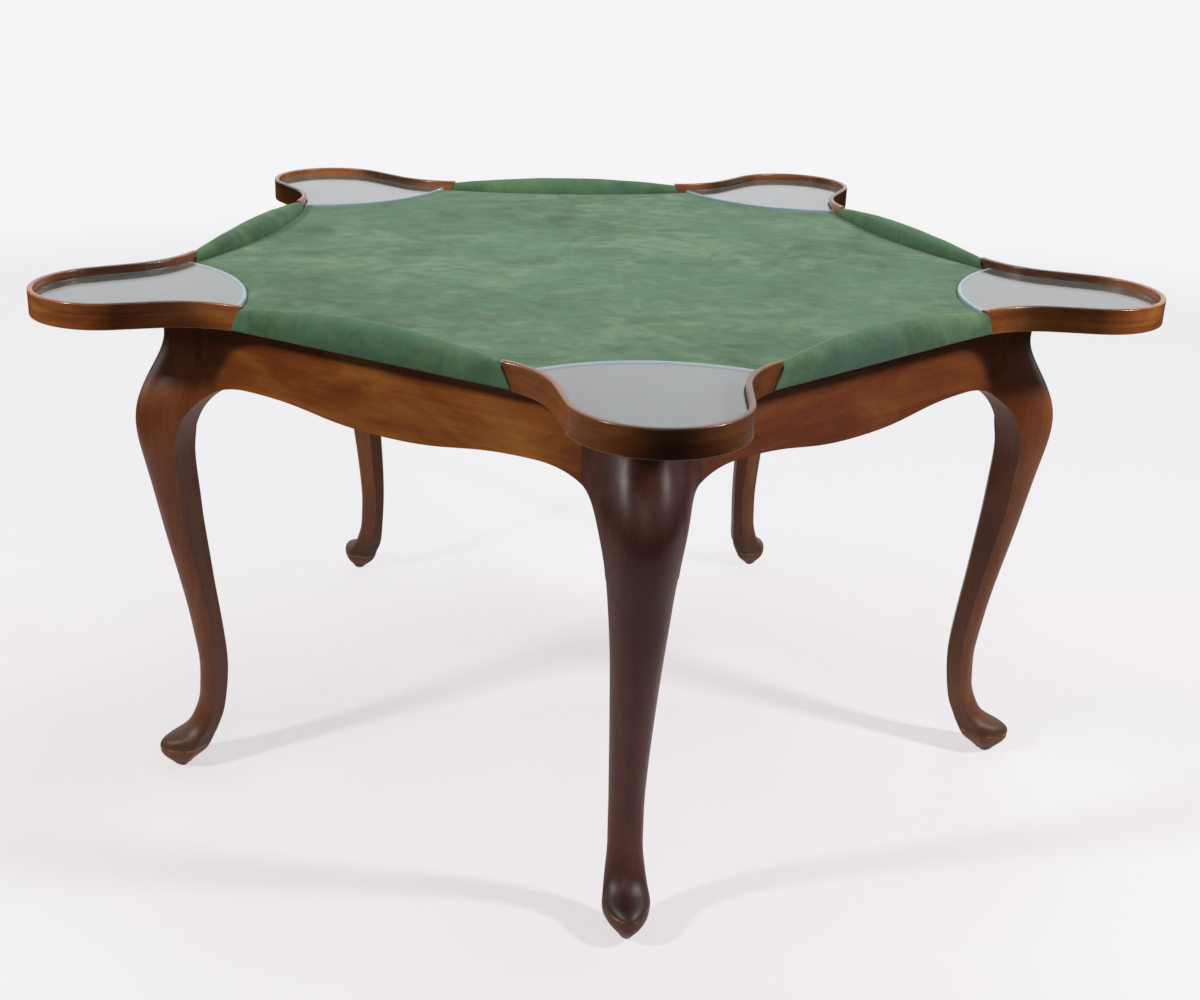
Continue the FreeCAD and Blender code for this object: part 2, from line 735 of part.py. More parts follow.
def lower_stations(shares, bottom, top):
    for rise, reach, depth, width, place in shares:
        front = CORNER_LINE + reach * size("knee_swell")
        back = CORNER_LINE - depth * size("leg_depth")
        arris = Vector(back + place * (front - back), width * size("leg_width") / 2)
        height = bottom + rise * (top - bottom)
        up = max(height - size("foot_edge"), 0) / (ARCH_END - size("foot_edge"))
        turn = FOOT_TURN_SHARE + up ** 2 * (KNEE_SHARES[-1][4] - FOOT_TURN_SHARE)
        low, high = MIDDLE_HANDLE_SHARES
        yield height, front, arris, back, HALF, turn, low + up * (high - low)


def make_leg():
    stations = list(knee_stations())
    stations += lower_stations(SHAFT_SHARES, size("foot_edge"), ARCH_END)
    sole = lower_stations(SOLE_SHARES, size("glide_thick"), size("foot_edge"))
    shaft_solid = Part.makeLoft([leg_section(*station) for station in stations], True)
    sole_solid = Part.makeLoft([leg_section(*station) for station in sole], True)
    return shaft_solid.fuse(sole_solid).Solids[0]


def glide_place():
    """Middle of the foot's flat sole."""
    _, reach, depth, _, _ = SOLE_SHARES[-1]
    front = CORNER_LINE + reach * size("knee_swell")
    back = CORNER_LINE - depth * size("leg_depth")
    return Vector((front + back) / 2, 0, 0)


# Knee blocks, in the corner frame on the side of hand 1.
def block_section(height, _front, arris, _back, _lean, turn, _breadth):
    start = at_height(on_side(size("apron_face"), APRON_END), height)
    arris = at_height(arris, height)
    length = arris.distanceToPoint(start)
    angle = -turn * (math.pi / 2 - HALF)
    swell = (start, start + side_run() * (length * BLOCK_HANDLE_SHARES[0]),
             polar(arris, -length * BLOCK_HANDLE_SHARES[1], angle), arris)
    inner = (at_height(on_side(APRON_BACK, flank_along(APRON_BACK)), height),
             at_height(on_side(APRON_BACK, APRON_END), height))
    return wire(closed([swell, inner]))


def arch_outline(out):
    """Everything under the arch beside the leg, at one distance from the axis. The arch runs
    off with the flank behind the knee's arris."""
    past = size("overrun")
    shift = Vector(flank_along(out) - size("leg_flank"), 0)
    start, handle, leg_handle, tip = BLOCK_ARCH
    leg_handle = leg_handle + shift * ARCH_SPREAD_SHARE
    tip = tip + shift
    far = flank_along(out) + 2 * past
    low = ARCH_END - past
    near = start.x - past
    points = [tip, Vector(far, tip.y), Vector(far, low), Vector(near, low),
              Vector(near, start.y), start]
    return wire([tuple(at_height(on_side(out, point.x), point.y) for point in part)
                 for part in [(start, handle, leg_handle, tip)] + list(zip(points, points[1:]))])


def below_arch():
    inner = APRON_BACK - size("overrun")
    outer = size("apron_face") + size("knee_flare") + size("overrun")
    return Part.makeLoft([arch_outline(inner), arch_outline(outer)], True, True)


def make_knee_block():
    sections = [block_section(*station) for station in knee_stations()]
    return Part.makeLoft(sections, True).cut(below_arch()).Solids[0]


# Aprons and what carries the board on them.
def make_apron(label, angle):
    lower = [serpentine(), APRON_ARCH]
    other = [tuple(Vector(-point.x, point.y) for point in reversed(edge))
             for edge in reversed(lower)]
    top = (Vector(APRON_END, BOARD_BOTTOM), Vector(-APRON_END, BOARD_BOTTOM))
    body = padded_body(label + "_blank", closed(other + lower + [top]),
                       "sizes.apron_face - sizes.apron_thick", "sizes.apron_thick", "YZ_Plane")
    drilled(label, body, angle)


def make_corner_block(label, angle):
    front_half = (APRON_BACK - LEG_BACK * math.cos(HALF)) / math.sin(HALF)
    back_half = (APRON_BACK - BLOCK_BACK * math.cos(HALF)) / math.sin(HALF)
    outline = polygon(Vector(LEG_BACK, -front_half), Vector(LEG_BACK, front_half),
                      Vector(BLOCK_BACK, back_half), Vector(BLOCK_BACK, -back_half))
    body = padded_body(label + "_blank", outline,
                       "sizes.top_height - sizes.gallery_height - sizes.block_height",
                       "sizes.block_height")
    drilled(label, body, angle)


def make_cleat(label, angle):
    half = size("cleat_length") / 2
    back = APRON_BACK - size("cleat_section")
    outline = polygon(Vector(back, -half), Vector(APRON_BACK, -half),
                      Vector(APRON_BACK, half), Vector(back, half))
    body = padded_body(label + "_blank", outline,
                       "sizes.top_height - sizes.gallery_height - sizes.cleat_section",
                       "sizes.cleat_section")
    drilled(label, body, angle)


# Nuts on the bolts' inner ends, and glides under the feet.
def make_nut():
    turn = 2 * math.pi / NUT_FACES
    corners = [polar(Vector(), size("nut_radius"), turn * index) for index in range(NUT_FACES)]
    bore = Part.makeCylinder(size("bolt_radius") + size("hole_fit"), size("nut_thick"))
    nut = prism(polygon(*corners), UP * size("nut_thick")).cut(bore)
    nut.Placement = Placement(
        Vector(BLOCK_BACK - size("nut_thick"), 0, BOARD_BOTTOM - size("block_height") / 2),
        Rotation(UP, OUTWARD))
    return nut


def in_every_corner(shape):
    return Part.makeCompound([shape.transformed(frame_at(angle).toMatrix())
                              for angle in CORNERS.values()])


for angle in CORNERS.values():
    add_corner_fasteners(angle)
for angle in SIDE_FRAMES.values():
    add_cleat_fasteners(angle)

make_top_board()
make_field()
leg = make_leg()
knee_block = make_knee_block()
knee_blocks = {"right": knee_block, "left": knee_block.mirror(Vector(), Vector(0, 1, 0))}
for name, angle in CORNERS.items():
    make_tray_panel("tray_panel_" + name, angle)
    make_glass("glass_" + name, angle)
    make_gallery("gallery_" + name, angle)
    drilled("leg_" + name, solid_object("leg_blank_" + name, leg), angle)
    for hand, shape in knee_blocks.items():
        blank = solid_object(f"knee_block_blank_{name}_{hand}", shape)
        drilled(f"knee_block_{name}_{hand}", blank, angle)
    make_corner_block("corner_block_" + name, angle)
arm_pad = make_arm_pad()
for name, angle in SIDE_FRAMES.items():
    keep(solid_object("arm_pad_" + name, arm_pad), angle)
    make_apron("apron_" + name, angle)
    make_cleat("top_cleat_" + name, angle)
for name, solids in fasteners.items():
    keep(solid_object(name, Part.makeCompound(solids)))
keep(solid_object("bolt_nuts", in_every_corner(make_nut())))
glide = Part.makeCylinder(size("glide_radius"), size("glide_thick"), glide_place())
keep(solid_object("foot_glides", in_every_corner(glide)))

doc.recompute()
failed = [item.Label for item in doc.Objects if {"Invalid", "Error"} & set(item.State)]
for piece in pieces:
    if piece.Shape.isNull() or not piece.Shape.isValid() or not piece.Shape.Solids:
        failed.append(piece.Label)
if failed:
    raise RuntimeError("failed: " + ", ".join(failed))
os.makedirs("parts", exist_ok=True)
for piece in pieces:
    piece.Shape.exportStep(f"parts/{piece.Label}.step")
    print(piece.Label, len(piece.Shape.Solids), round(piece.Shape.Volume))
print("pieces:", len(pieces))
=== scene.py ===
import math

import bpy
import numpy as np
from mathutils import Matrix, Vector, geometry, noise


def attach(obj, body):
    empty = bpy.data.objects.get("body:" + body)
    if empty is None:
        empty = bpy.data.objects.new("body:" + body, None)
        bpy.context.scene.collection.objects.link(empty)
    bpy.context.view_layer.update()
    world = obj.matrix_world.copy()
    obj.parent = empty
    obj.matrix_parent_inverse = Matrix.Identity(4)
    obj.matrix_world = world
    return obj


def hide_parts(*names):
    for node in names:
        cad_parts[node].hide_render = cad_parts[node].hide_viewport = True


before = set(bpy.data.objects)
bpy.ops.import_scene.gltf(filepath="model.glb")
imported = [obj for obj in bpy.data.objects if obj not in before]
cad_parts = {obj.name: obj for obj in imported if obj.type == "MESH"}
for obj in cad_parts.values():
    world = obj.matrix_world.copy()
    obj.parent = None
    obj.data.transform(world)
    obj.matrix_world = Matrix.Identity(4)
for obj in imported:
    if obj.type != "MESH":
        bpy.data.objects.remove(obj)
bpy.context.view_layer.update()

# Sizes of the table, in metres. Its five sectors stand round an upright axis behind the origin.
AXIS_Y = 0.06713
CORNERS = {"front": -90, "right": -18, "rear_right": 54, "rear_left": 126, "left": 198}
SIDES = {"front_right": -54, "side_right": 18, "rear": 90, "side_left": 162, "front_left": 234}
HALF = math.radians(36)
TAPER = math.radians(7)
# Axis to the board's straight side, and to the middle of a lobe.
APOTHEM = 0.5547
LOBE_CENTRE = 0.703
LOBE_RADIUS = 0.105
HOLLOW = 0.136
GALLERY = 0.0075
SLANT = 0.017
TOP = 0.740
BOARD_BOTTOM = 0.705
BOARD_TOP = 0.719
FIELD_TOP = 0.725
# The glass's mouth is an arc, and so is the seam between the field and an arm rest.
GLASS_EDGE = 0.527
GLASS_EDGE_RADIUS = 0.256
SEAM_PLACE = 0.521
SEAM_RUN = 0.0225
NORMAL = Vector((math.cos(HALF), math.sin(HALF)))
RUN = Vector((math.sin(HALF), -math.cos(HALF)))


def polar(centre, radius, angle):
    """A point on a circle. The plan's frames, of a corner or of a side, start at the axis."""
    return centre + Vector((radius * math.cos(angle), radius * math.sin(angle)))


# Materials.
MIXED = {"data_type": "RGBA"}
MULTIPLIED = {"data_type": "RGBA", "blend_type": "MULTIPLY"}


def linear(colour):
    """An sRGB hex colour as linear RGBA."""
    parts = [int(colour[i:i + 2], 16) / 255 for i in (0, 2, 4)]
    return [c / 12.92 if c <= 0.04045 else ((c + 0.055) / 1.055) ** 2.4 for c in parts] + [1.0]


def per_metre(*sizes):
    """A pattern's scales, from its real sizes in millimetres."""
    return [1000 / size for size in sizes]


def node(tree, kind, *values, stops=(), **named):
    """Adds a shader node with its settings and links.

    The values fill the inputs in use, in order. A name with a capital is an input, with
    underscores for spaces, and any other name is a setting. A text is a hex colour, and a node
    gives its first output in use. stops are a ramp's places, each with a colour or grey level.
    """
    new = tree.nodes.new("ShaderNode" + kind)
    for name, value in named.items():
        if name[0].islower():
            setattr(new, name, value)
    for _ in stops[2:]:
        new.color_ramp.elements.new(0.5)
    for (place, tone), element in zip(stops, new.color_ramp.elements if stops else ()):
        element.position = place
        element.color = linear(tone) if isinstance(tone, str) else [tone] * 3 + [1.0]
    given = list(zip((socket for socket in new.inputs if socket.enabled), values))
    given += [(new.inputs[name.replace("_", " ")], value) for name, value in named.items()
              if name[0].isupper()]
    for socket, value in given:
        if isinstance(value, bpy.types.Node):
            value = next(output for output in value.outputs if output.enabled)
        if isinstance(value, bpy.types.NodeSocket):
            tree.links.new(value, socket)
        else:
            socket.default_value = linear(value) if isinstance(value, str) else value
    return new


def material(name):
    """A new material, its nodes and the point that is coloured, in metres."""
    new = bpy.data.materials.new(name)
    new.use_nodes = True
    new.node_tree.nodes.clear()
    return new, new.node_tree, node(new.node_tree, "TexCoord").outputs["Object"]


def plan_reach(tree, here, centre):
    """Plan distance of a point from a centre, in metres."""
    away = node(tree, "Mapping", here, Location=(-centre[0], -centre[1], 0), Scale=(1, 1, 0))
    return node(tree, "VectorMath", away, operation="LENGTH")


# Tones by place. They were matched to the photograph by measuring, so some of them
# are painted light and shade. Their stops are distances in metres.
TABLE_AXIS = (0, AXIS_Y)
RAMP_HEIGHT = 0.8
RAMP_SIDE = 0.1


def tone_by_height(tree, here, stops):
    """A colour by place that changes with the height above the floor: stains and painted light alike.
    """
    height = node(tree, "SeparateXYZ", here).outputs["Z"]
    share = node(tree, "Math", height, 1 / RAMP_HEIGHT, operation="MULTIPLY")
    return node(tree, "ValToRGB", share, stops=[(up / RAMP_HEIGHT, tone) for up, tone in stops])


def painted_shade_middle(tree, here):
    """Painted shade: the front gallery is drawn nearly black in the middle, where it faces the dark
    room, and evenly paler to both sides.
    """
    along = node(tree, "SeparateXYZ", here).outputs["X"]
    aside = node(tree, "Math", along, operation="ABSOLUTE")
    share = node(tree, "Math", aside, 1 / RAMP_SIDE, operation="MULTIPLY")
    return node(tree, "ValToRGB", share,
                stops=[(0.010 / RAMP_SIDE, 0.12), (0.070 / RAMP_SIDE, 0.62)])


def pale_tips_and_ends(tree, here):
    """The other galleries are lightest round the tip, a little darker at the ends, and much darker
    between.
    """
    return node(tree, "ValToRGB", plan_reach(tree, here, TABLE_AXIS),
                stops=[(0.605, 0.80), (0.635, 0.30), (0.72, 0.27), (0.77, 1.0)])


def painted_shade_ends(tree, here):
    """Painted shade: the aprons darken towards the knees, where the lobes above shade them, alike at
    all ten ends.
    """
    return node(tree, "ValToRGB", plan_reach(tree, here, TABLE_AXIS),
                stops=[(0.565, 1.0), (0.62, 0.66)])


def painted_toe_sheen_warm_knees(tree, here):
    """Painted sheen: the toes are greyed from their worn edge up, where the room is reflected in
    them. The knees are warmer.
    """
    return tone_by_height(tree, here, [(0.0, "D8C8B4"), (0.0332, "FFFFF4"), (0.036, "B0B4B8"),
                                 (0.048, "B4B6B8"), (0.096, "F8F6F4"), (0.40, "FFFFFF"),
                                 (0.576, "FFE8C0")])


def dark_toe_painted_knee_shade(tree, here):
    """The front leg is darkest just above its toe's edge. From the shin up to the knee it darkens:
    painted shade under the top.
    """
    return tone_by_height(tree, here, [(0.0, 0.50), (0.0392, 1.0), (0.042, 0.36), (0.056, 0.40),
                                 (0.096, 1.0), (0.28, 0.95), (0.48, 0.60)])


def painted_light_pool(tree, here):
    """Painted light: the field is drawn paler in a pool round its middle and towards the back, and
    darker towards its edge.
    """
    pool_centre = (0, AXIS_Y + 0.16)
    return node(tree, "ValToRGB", plan_reach(tree, here, pool_centre),
                stops=[(0.10, 1.0), (0.35, 0.94), (0.62, 0.80)])


def scuffed_feet(tree, here):
    """How much rougher scuffs have made the lacquer on the feet, up to 110 mm."""
    height = node(tree, "SeparateXYZ", here).outputs["Z"]
    return node(tree, "MapRange", Value=height, From_Min=0.045, From_Max=0.11, To_Min=0.11,
                To_Max=0.0)


def worn_edge(tree, here, up):
    """Where bare wood shows round the toe: strokes some 25 mm long and 1.6 mm high."""
    height = node(tree, "SeparateXYZ", here).outputs["Z"]
    over = node(tree, "Math", height, up, operation="SUBTRACT")
    away = node(tree, "Math", over, operation="ABSOLUTE")
    line = node(tree, "MapRange", Value=away, From_Min=0.0005, From_Max=0.0012, To_Min=1.0,
                To_Max=0.0)
    place = node(tree, "Mapping", here, Scale=per_metre(22.222, 22.222, 22.222))
    pattern = node(tree, "TexNoise", Vector=place, Scale=1, Detail=2)
    strokes = node(tree, "ValToRGB", pattern, stops=[(0.46, 0.0), (0.54, 0.95)])
    return node(tree, "Math", line, strokes, operation="MULTIPLY")


# The figure's sizes in millimetres, by the way the grain runs: growth bands, pores and clouds.
# Real pores are about 0.2 mm wide. They are drawn up to 0.9 mm wide, so that they show.
FIGURES = {
    "level": ((312.5, 312.5, 11.111), (11.765, 11.765, 0.66667), (200, 200, 71.429)),
    "upright": ((16.667, 16.667, 384.62), (0.90909, 0.90909, 16.667), (111.11, 111.11, 333.33)),
}
# Each growth band is made up of this many finer ones.
FINE_BANDS = 4.5


def lacquered_wood(name, tones, grain, gloss, figure=1.0, coat=0.0, coat_gloss=0.16, seed=0.0,
                   stain_and_painted_light=None, worn_at=None):
    """Planed hardwood under a clear lacquer, with tones from dark to light.

    The eye sees long bands with soft edges, short dark pores and broad clouds. The lacquer has
    drawn into the grain a little, which breaks up its highlights. figure is how strong the
    bands are, and worn_at is the height of a worn edge.
    """
    new, tree, here = material(name)
    bands, pores, clouds = FIGURES[grain]
    fine = [size / FINE_BANDS for size in bands]
    pattern = {}
    for part, sizes, scale, detail, rough, bend in (
            ("bands", bands, 1, 5, 0.55, 0.9), ("fine", fine, 1, 3, 0.6, 0.4),
            ("pores", pores, 1, 2, 0.5, 0), ("clouds", clouds, 1, 3, 0.6, 0.6),
            ("drawn_in", clouds, 6, 2, 0.5, 0)):
        place = node(tree, "Mapping", here, Location=(seed, seed * 0.37, seed * 0.61),
                     Scale=per_metre(*sizes))
        pattern[part] = node(tree, "TexNoise", Vector=place, Scale=scale, Detail=detail,
                             Roughness=rough, Distortion=bend)
    shares = {"bands": 0.46 * figure, "clouds": 0.62, "fine": 0.18 * figure}
    depth = 0.0
    for part, share in shares.items():
        depth = node(tree, "Math", pattern[part], share, depth, operation="MULTIPLY_ADD")
    middle = sum(shares.values()) / 2
    colour = node(tree, "ValToRGB", depth, stops=[
        (middle - 0.19, tones[0]), (middle - 0.02, tones[1]), (middle + 0.17, tones[2])])
    dark = node(tree, "ValToRGB", pattern["pores"], stops=[(0.34, 0.62), (0.46, 1.0)])
    colour = node(tree, "Mix", 0.75, colour, dark, **MULTIPLIED)
    # Colour by place: stains, and painted shade and sheen.
    if stain_and_painted_light:
        colour = node(tree, "Mix", 1.0, colour, stain_and_painted_light(tree, here), **MULTIPLIED)
    rough = node(tree, "ValToRGB", pattern["clouds"],
                 stops=[(0.3, gloss - 0.05), (0.7, gloss + 0.07)])
    if worn_at:
        colour = node(tree, "Mix", worn_edge(tree, here, worn_at), colour, "C09870", **MIXED)
        rough = node(tree, "Math", rough, scuffed_feet(tree, here), operation="ADD")
    normal = node(tree, "Bump", Height=pattern["pores"], Strength=0.10, Distance=0.0003)
    normal = node(tree, "Bump", Height=pattern["drawn_in"], Strength=0.10, Distance=0.002,
                  Normal=normal)
    shader = node(tree, "BsdfPrincipled", Base_Color=colour, Roughness=rough, Normal=normal,
                  IOR=1.5, Coat_Weight=coat, Coat_Roughness=coat_gloss, Coat_IOR=1.5)
    node(tree, "OutputMaterial", Surface=shader)
    return new


def brushed_suede(name, tones, seed, painted_light=None):
    """Calf suede, dyed and brushed. tones are three from dark to light and one that is bluer.

    The eye sees a matt nap that turns paler at grazing angles, clouds some 150 mm wide where the
    dye took unevenly, and marks of 30 mm by 40 mm where hands have rubbed the nap. A real nap
    is finer than 0.2 mm. It is drawn at 0.7 mm, so that it shows.
    """
    new, tree, here = material(name)
    pattern = {}
    for part, sizes, place, turn, detail, rough, bend in (
            ("clouds", (166.67, 142.86, 166.67), (seed, seed * 0.7, 0), 0, 5, 0.62, 0.9),
            ("marks", (41.667, 30.303, 33.333), (seed, seed * 0.7, 0), 0.3, 5, 0.66, 0.8),
            ("blue", (200, 142.86, 200), (seed + 4, seed, 0), 0, 4, 0.6, 0.8)):
        spot = node(tree, "Mapping", here, Location=place, Rotation=(0, 0, turn),
                    Scale=per_metre(*sizes))
        pattern[part] = node(tree, "TexNoise", Vector=spot, Scale=1, Detail=detail,
                             Roughness=rough, Distortion=bend)
    spot = node(tree, "Mapping", here, Location=(seed, seed * 0.7, 0))
    nap = node(tree, "TexNoise", Vector=spot, Scale=1000 / 0.71429, Detail=2, Roughness=0.6)
    both = node(tree, "Math", pattern["clouds"], pattern["marks"], operation="ADD")
    depth = node(tree, "Math", both, 0.5, operation="MULTIPLY")
    colour = node(tree, "ValToRGB", depth,
                  stops=[(0.36, tones[0]), (0.50, tones[1]), (0.64, tones[2])])
    bluer = node(tree, "ValToRGB", pattern["blue"], stops=[(0.44, 0.0), (0.62, 0.5)])
    colour = node(tree, "Mix", bluer, colour, tones[3], **MIXED)
    fibre = node(tree, "ValToRGB", nap, stops=[(0.3, 0.86), (0.7, 1.0)])
    colour = node(tree, "Mix", 1.0, colour, fibre, **MULTIPLIED)
    # Painted light, where it is given, pales the colour in a pool.
    if painted_light:
        colour = node(tree, "Mix", 1.0, colour, painted_light(tree, here), **MULTIPLIED)
    normal = node(tree, "Bump", Height=nap, Strength=0.25, Distance=0.0006)
    normal = node(tree, "Bump", Height=pattern["clouds"], Strength=0.12, Distance=0.01,
                  Normal=normal)
    shader = node(tree, "BsdfPrincipled", Base_Color=colour, Roughness=0.95, Normal=normal,
                  Specular_IOR_Level=0.15, Sheen_Weight=0.45, Sheen_Roughness=0.45,
                  Sheen_Tint="B9D0BC")
    node(tree, "OutputMaterial", Surface=shader)
    return new


def satin_paint(name, tone, shade):
    """Satin oil paint, brushed on. Its level grey clouds a little over some 70 mm."""
    new, tree, here = material(name)
    place = node(tree, "Mapping", here, Scale=per_metre(71.429, 71.429, 71.429))
    clouds = node(tree, "TexNoise", Vector=place, Scale=1, Detail=4, Roughness=0.6)
    # Dust in the paint stands 1.1 mm apart.
    specks = node(tree, "TexNoise", Vector=here, Scale=1000 / 1.1111, Detail=2)
    colour = node(tree, "ValToRGB", clouds, stops=[(0.35, shade), (0.65, tone)])
    normal = node(tree, "Bump", Height=specks, Strength=0.08, Distance=0.0002)
    shader = node(tree, "BsdfPrincipled", Base_Color=colour, Roughness=0.5, Normal=normal)
    node(tree, "OutputMaterial", Surface=shader)
    return new


def plate_glass(name, angle):
    """Clear plate glass, with a ground edge and a painted pale band 5 mm wide round the arc of its
    mouth.

    The eye sees the panel through it, the room's pale gloss on it and a dull grey-green edge.
    The pale blue band at the mouth is a painted reflection, where the bevel catches the light.
    Shadow and diffuse rays pass, so that the panel is lit.
    """
    new, tree, here = material(name)
    # Wiping has left smears some 110 mm long.
    place = node(tree, "Mapping", here, Scale=per_metre(111.11, 111.11, 111.11))
    smears = node(tree, "TexNoise", Vector=place, Scale=1, Detail=4, Roughness=0.6)
    rough = node(tree, "ValToRGB", smears, stops=[(0.45, 0.0), (0.75, 0.06)])
    plate = node(tree, "BsdfPrincipled", Base_Color="F1F3F3", Roughness=rough, IOR=1.52,
                 Transmission_Weight=1.0)
    ground = node(tree, "BsdfPrincipled", Base_Color="7FA09C", Roughness=0.18, IOR=1.52,
                  Transmission_Weight=0.4)
    facing = node(tree, "NewGeometry").outputs["True Normal"]
    level = node(tree, "Math", node(tree, "SeparateXYZ", facing).outputs["Z"],
                 operation="ABSOLUTE")
    edge = node(tree, "MapRange", Value=level, From_Min=0.90, From_Max=0.98, To_Min=0.7,
                To_Max=0.0)
    glass = node(tree, "MixShader", edge, plate, ground)
    centre = polar(Vector((0, AXIS_Y)), GLASS_EDGE + GLASS_EDGE_RADIUS, math.radians(angle))
    # Painted reflection: the band along the mouth is pale blue, where the bevel catches the light.
    bevel = node(tree, "MapRange", Value=plan_reach(tree, here, centre),
                 From_Min=GLASS_EDGE_RADIUS - 0.0055, From_Max=GLASS_EDGE_RADIUS - 0.0045,
                 To_Min=0.0, To_Max=0.6)
    pale = node(tree, "BsdfPrincipled", Base_Color="B4D2DA", Roughness=0.2, IOR=1.52)
    glass = node(tree, "MixShader", bevel, glass, pale)
    passing = node(tree, "BsdfTransparent", Color="ECEFEF")
    path = node(tree, "LightPath").outputs
    through = node(tree, "Math", path["Is Shadow Ray"], path["Is Diffuse Ray"],
                   operation="MAXIMUM")
    node(tree, "OutputMaterial", Surface=node(tree, "MixShader", through, glass, passing))
    return new


def tarnished_metal(name, tone, gloss):
    """Turned brass or steel, dulled by brown tarnish in spots some 4 mm apart."""
    new, tree, here = material(name)
    tarnish = node(tree, "TexNoise", Vector=here, Scale=1000 / 3.8462, Detail=3)
    share = node(tree, "ValToRGB", tarnish, stops=[(0.4, 0.0), (0.7, 0.4)])
    colour = node(tree, "Mix", share, tone, "4A3E2C", **MIXED)
    normal = node(tree, "Bump", Height=tarnish, Strength=0.1, Distance=0.0001)
    shader = node(tree, "BsdfPrincipled", Base_Color=colour, Metallic=1.0, Roughness=gloss,
                  Normal=normal)
    node(tree, "OutputMaterial", Surface=shader)
    return new


def moulded_nylon(name, tone):
    """Moulded nylon: pale and soft in gloss, with dirt in spots some 7 mm apart."""
    new, tree, here = material(name)
    dirt = node(tree, "TexNoise", Vector=here, Scale=1000 / 6.6667, Detail=3)
    share = node(tree, "ValToRGB", dirt, stops=[(0.45, 0.0), (0.75, 0.5)])
    colour = node(tree, "Mix", share, tone, "8C8478", **MIXED)
    normal = node(tree, "Bump", Height=dirt, Strength=0.1, Distance=0.0001)
    shader = node(tree, "BsdfPrincipled", Base_Color=colour, Roughness=0.45, Normal=normal)
    node(tree, "OutputMaterial", Surface=shader)
    return new


BLOCK_BEECH = ("A27C52", "BB9465", "CBA678")
STEEL = "A4A6A8"
LEG_WOOD = lacquered_wood("mahogany_leg_painted_toe_sheen", ("5A301A", "824E30", "A46C48"), "upright", 0.36,
                          figure=0.5, seed=5.7, stain_and_painted_light=painted_toe_sheen_warm_knees, worn_at=0.034)
# The front leg and its knee blocks take a darker, cooler copy of the leg wood: painted shade, where
# the leg faces the dark room.
SHADED_FRONT_LEG_WOOD = lacquered_wood("mahogany_front_leg_painted_shade", ("3C1E18", "5A3026", "784636"), "upright",
                                0.34, figure=0.6, seed=7.9, stain_and_painted_light=dark_toe_painted_knee_shade, worn_at=0.040)
# A piece takes the first finish whose key its name starts with.
FINISHES = {
    "gallery_pins": tarnished_metal("brass_pins", "C9A460", 0.25),
    # The front gallery takes a darker copy of the galleries' walnut, with painted shade in its
    # middle.
    "gallery_front": lacquered_wood("walnut_front_gallery_painted_shade", ("4E2612", "985628", "CC8448"),
                                    "level", 0.28, 0.6, 0.3, seed=3.1, stain_and_painted_light=painted_shade_middle),
    "gallery_": lacquered_wood("walnut_gallery", ("5C2E16", "A45E2E", "D88E4C"), "level", 0.26,
                               0.6, 0.5, seed=3.1, stain_and_painted_light=pale_tips_and_ends),
    "apron_dowels": lacquered_wood("beech_dowels", ("A88258", "C09A6C", "D0AC7E"), "level", 0.6),
    # The front left apron takes a lighter copy of the aprons' mahogany: painted light, where the left
    # lamp falls on it.
    "apron_front_left": lacquered_wood("mahogany_left_apron_painted_light", ("5C2C10", "8E4A1B", "BE782E"),
                                       "level", 0.34, 0.4, 0.25, 0.2, 1.3, painted_shade_ends),
    "apron_": lacquered_wood("mahogany_apron_painted_shade", ("4E240E", "7E3F1D", "A2602C"), "level", 0.34,
                             0.4, 0.25, 0.2, 4.3, painted_shade_ends),
    "knee_block_front": SHADED_FRONT_LEG_WOOD,
    "knee_block_": LEG_WOOD,
    "leg_bolts": tarnished_metal("steel_bolts", STEEL, 0.35),
    "leg_front": SHADED_FRONT_LEG_WOOD,
    "leg_": LEG_WOOD,
    "corner_block_screws": tarnished_metal("steel_block_screws", STEEL, 0.35),
    "cleat_screws": tarnished_metal("steel_cleat_screws", STEEL, 0.35),
    "bolt_nuts": tarnished_metal("steel_nuts", STEEL, 0.35),
    "corner_block_": lacquered_wood("beech_blocks", BLOCK_BEECH, "level", 0.6),
    "top_cleat_": lacquered_wood("beech_cleats", BLOCK_BEECH, "level", 0.6),
    "top_board": lacquered_wood("beech_board", ("9A7448", "B48C5C", "C6A070"), "level", 0.6),
    "tray_panel_": satin_paint("grey_paint", "6C7370", "656B68"),
    "foot_glides": moulded_nylon("nylon_glides", "D8D2C6"),
}
for corner, angle in CORNERS.items():
    FINISHES["glass_" + corner] = plate_glass("plate_glass_" + corner, angle)
for name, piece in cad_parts.items():
    finish = next((FINISHES[start] for start in FINISHES if name.startswith(start)), None)
    for place in piece.material_slots:
        if finish:
            place.material = finish


# The plan of a corner, in its own frame: where its curves meet and where they are centred.
FLANK_RUN = (LOBE_CENTRE * math.cos(HALF) + LOBE_RADIUS * math.sin(HALF + TAPER)
             - APOTHEM) / math.cos(HALF + TAPER)
FLANK_MEETING = Vector((LOBE_CENTRE + LOBE_RADIUS * math.sin(TAPER) - FLANK_RUN * math.cos(TAPER),
                        LOBE_RADIUS * math.cos(TAPER) + FLANK_RUN * math.sin(TAPER)))
HOLLOW_TURN = math.pi / 2 - HALF - TAPER
HOLLOW_START = HALF - math.pi
GALLERY_END = FLANK_MEETING - RUN * HOLLOW * math.tan(HOLLOW_TURN / 2)
END_ALONG = GALLERY_END.dot(RUN)
HOLLOW_CENTRE = GALLERY_END + NORMAL * HOLLOW
GLASS_CENTRE = Vector((GLASS_EDGE + GLASS_EDGE_RADIUS, 0))
SEAM_RADIUS = (END_ALONG ** 2 + SEAM_RUN ** 2) / (2 * SEAM_RUN)


def slant_along(height):
    """Half the length of an arm rest at a height, between the slanted gallery ends."""
    return END_ALONG + SLANT * (TOP - height) / (TOP - BOARD_BOTTOM)


